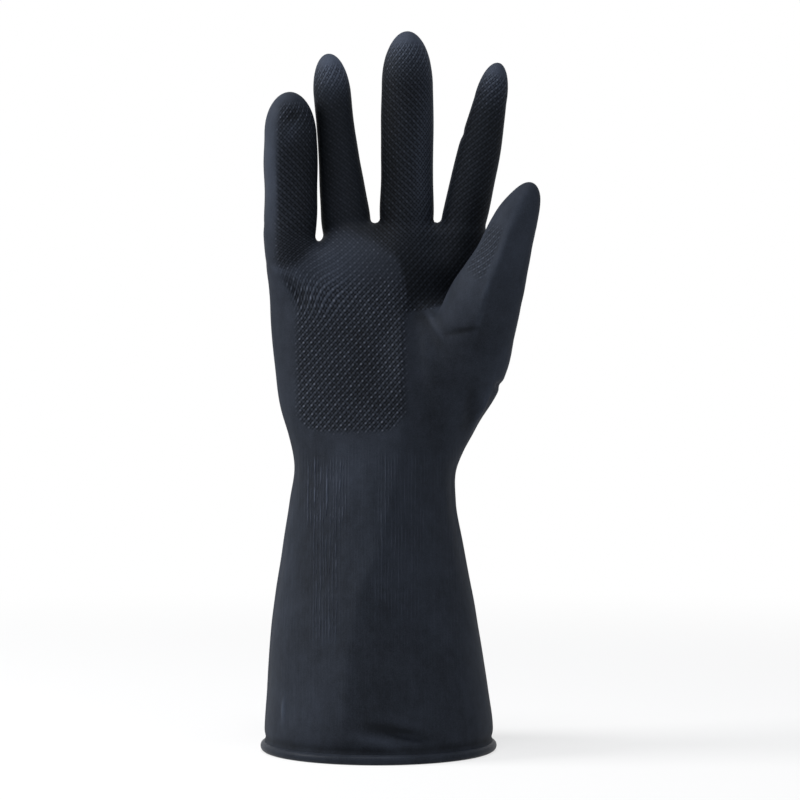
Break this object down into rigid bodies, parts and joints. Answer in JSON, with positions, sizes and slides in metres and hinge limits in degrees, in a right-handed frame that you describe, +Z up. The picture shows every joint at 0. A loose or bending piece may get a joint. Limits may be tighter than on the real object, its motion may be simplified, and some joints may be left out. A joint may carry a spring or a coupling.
{
  "type": "electrical insulating glove",
  "caption": "Right-hand rubber insulating glove with a long flared gauntlet, a rolled cuff bead and a textured grip, bending at the wrist, fingers and thumb.",
  "frame": {"origin": "centre of the cuff opening, on the surface that the glove stands on", "axes": "+Z up along the glove from the cuff to the fingertips, -Y out of the palm, +X to the thumb side"},
  "size_m": [0.1401, 0.1188, 0.36],
  "materials": {
    "glove_rubber": "satin black dipped rubber with a fine dusty bloom",
    "bead_rubber": "the same rubber, rolled into a smooth round bead"
  },
  "bodies": {
    "gauntlet": {"cuff_bead": "bead_rubber", "gauntlet": "glove_rubber"},
    "hand": {"wrist_bend": "glove_rubber", "hand_shell": "glove_rubber"},
    "little_proximal": {"little_root_bend": "glove_rubber", "little_proximal": "glove_rubber"},
    "little_middle": {"little_middle_bend": "glove_rubber", "little_middle": "glove_rubber"},
    "little_tip": {"little_tip_bend": "glove_rubber", "little_tip": "glove_rubber"},
    "ring_proximal": {"ring_root_bend": "glove_rubber", "ring_proximal": "glove_rubber"},
    "ring_middle": {"ring_middle_bend": "glove_rubber", "ring_middle": "glove_rubber"},
    "ring_tip": {"ring_tip_bend": "glove_rubber", "ring_tip": "glove_rubber"},
    "middle_proximal": {"middle_root_bend": "glove_rubber", "middle_proximal": "glove_rubber"},
    "middle_middle": {"middle_middle_bend": "glove_rubber", "middle_middle": "glove_rubber"},
    "middle_tip": {"middle_tip_bend": "glove_rubber", "middle_tip": "glove_rubber"},
    "index_proximal": {"index_root_bend": "glove_rubber", "index_proximal": "glove_rubber"},
    "index_middle": {"index_middle_bend": "glove_rubber", "index_middle": "glove_rubber"},
    "index_tip": {"index_tip_bend": "glove_rubber", "index_tip": "glove_rubber"},
    "thumb_proximal": {"thumb_root_bend": "glove_rubber", "thumb_proximal": "glove_rubber"},
    "thumb_tip": {"thumb_tip_bend": "glove_rubber", "thumb_tip": "glove_rubber"}
  },
  "joints": [
    {"name": "wrist", "type": "hinge", "parent": "gauntlet", "child": "hand", "pos_m": [0, 0, 0.1435], "axis": [1, 0, 0], "range_deg": [-50, 50], "stiffness_Nm_per_rad": 1.2, "deforming": ["wrist_bend"]},
    {"name": "little_root", "type": "hinge", "parent": "hand", "child": "little_proximal", "pos_m": [-0.04396, -0.00894, 0.27275], "axis": [1, 0, -0.007], "range_deg": [-20, 60], "stiffness_Nm_per_rad": 0.08, "deforming": ["little_root_bend"]},
    {"name": "little_middle", "type": "hinge", "parent": "little_proximal", "child": "little_middle", "pos_m": [-0.04382, -0.0095, 0.29315], "axis": [1, 0, -0.007], "range_deg": [0, 70], "stiffness_Nm_per_rad": 0.06, "deforming": ["little_middle_bend"]},
    {"name": "little_tip", "type": "hinge", "parent": "little_middle", "child": "little_tip", "pos_m": [-0.0437, -0.01116, 0.30998], "axis": [1, 0, -0.007], "range_deg": [0, 46.67], "stiffness_Nm_per_rad": 0.04, "deforming": ["little_tip_bend"]},
    {"name": "ring_root", "type": "hinge", "parent": "hand", "child": "ring_proximal", "pos_m": [-0.0166, -0.00287, 0.27272], "axis": [0.9945, 0, 0.1045], "range_deg": [-20, 60], "stiffness_Nm_per_rad": 0.08, "deforming": ["ring_root_bend"]},
    {"name": "ring_middle", "type": "hinge", "parent": "ring_proximal", "child": "ring_middle", "pos_m": [-0.01975, -0.00333, 0.30267], "axis": [0.9945, 0, 0.1045], "range_deg": [0, 70], "stiffness_Nm_per_rad": 0.06, "deforming": ["ring_middle_bend"]},
    {"name": "ring_tip", "type": "hinge", "parent": "ring_middle", "child": "ring_tip", "pos_m": [-0.02219, -0.00533, 0.32591], "axis": [0.9945, 0, 0.1045], "range_deg": [0, 46.67], "stiffness_Nm_per_rad": 0.04, "deforming": ["ring_tip_bend"]},
    {"name": "middle_root", "type": "hinge", "parent": "hand", "child": "middle_proximal", "pos_m": [0.0142, -0.00458, 0.27287], "axis": [1, 0, 0], "range_deg": [-20, 60], "stiffness_Nm_per_rad": 0.08, "deforming": ["middle_root_bend"]},
    {"name": "middle_middle", "type": "hinge", "parent": "middle_proximal", "child": "middle_middle", "pos_m": [0.0142, -0.0057, 0.30582], "axis": [1, 0, 0], "range_deg": [0, 70], "stiffness_Nm_per_rad": 0.06, "deforming": ["middle_middle_bend"]},
    {"name": "middle_tip", "type": "hinge", "parent": "middle_middle", "child": "middle_tip", "pos_m": [0.0142, -0.00836, 0.33131], "axis": [1, 0, 0], "range_deg": [0, 46.67], "stiffness_Nm_per_rad": 0.04, "deforming": ["middle_tip_bend"]},
    {"name": "index_root", "type": "hinge", "parent": "hand", "child": "index_proximal", "pos_m": [0.04419, -0.00376, 0.27189], "axis": [0.9759, 0, -0.2181], "range_deg": [-20, 60], "stiffness_Nm_per_rad": 0.08, "deforming": ["index_root_bend"]},
    {"name": "index_middle", "type": "hinge", "parent": "index_proximal", "child": "index_middle", "pos_m": [0.04996, -0.00442, 0.29771], "axis": [0.9759, 0, -0.2181], "range_deg": [0, 70], "stiffness_Nm_per_rad": 0.06, "deforming": ["index_middle_bend"]},
    {"name": "index_tip", "type": "hinge", "parent": "index_middle", "child": "index_tip", "pos_m": [0.05419, -0.00626, 0.3166], "axis": [0.9759, 0, -0.2181], "range_deg": [0, 46.67], "stiffness_Nm_per_rad": 0.04, "deforming": ["index_tip_bend"]},
    {"name": "thumb_root", "type": "hinge", "parent": "hand", "child": "thumb_proximal", "pos_m": [0.05235, -0.03206, 0.2311], "axis": [-0.6, 0.715, 0.3588], "range_deg": [-35, 15], "stiffness_Nm_per_rad": 0.12, "deforming": ["thumb_root_bend"]},
    {"name": "thumb_tip", "type": "hinge", "parent": "thumb_proximal", "child": "thumb_tip", "pos_m": [0.06116, -0.03527, 0.25222], "axis": [-0.6, 0.715, 0.3588], "range_deg": [-55, 0], "stiffness_Nm_per_rad": 0.06, "deforming": ["thumb_tip_bend"]}
  ],
  "couplings": [
    {"joint": "little_tip", "follows": "little_middle", "ratio": 0.66667},
    {"joint": "ring_tip", "follows": "ring_middle", "ratio": 0.66667},
    {"joint": "middle_tip", "follows": "middle_middle", "ratio": 0.66667},
    {"joint": "index_tip", "follows": "index_middle", "ratio": 0.66667}
  ]
}
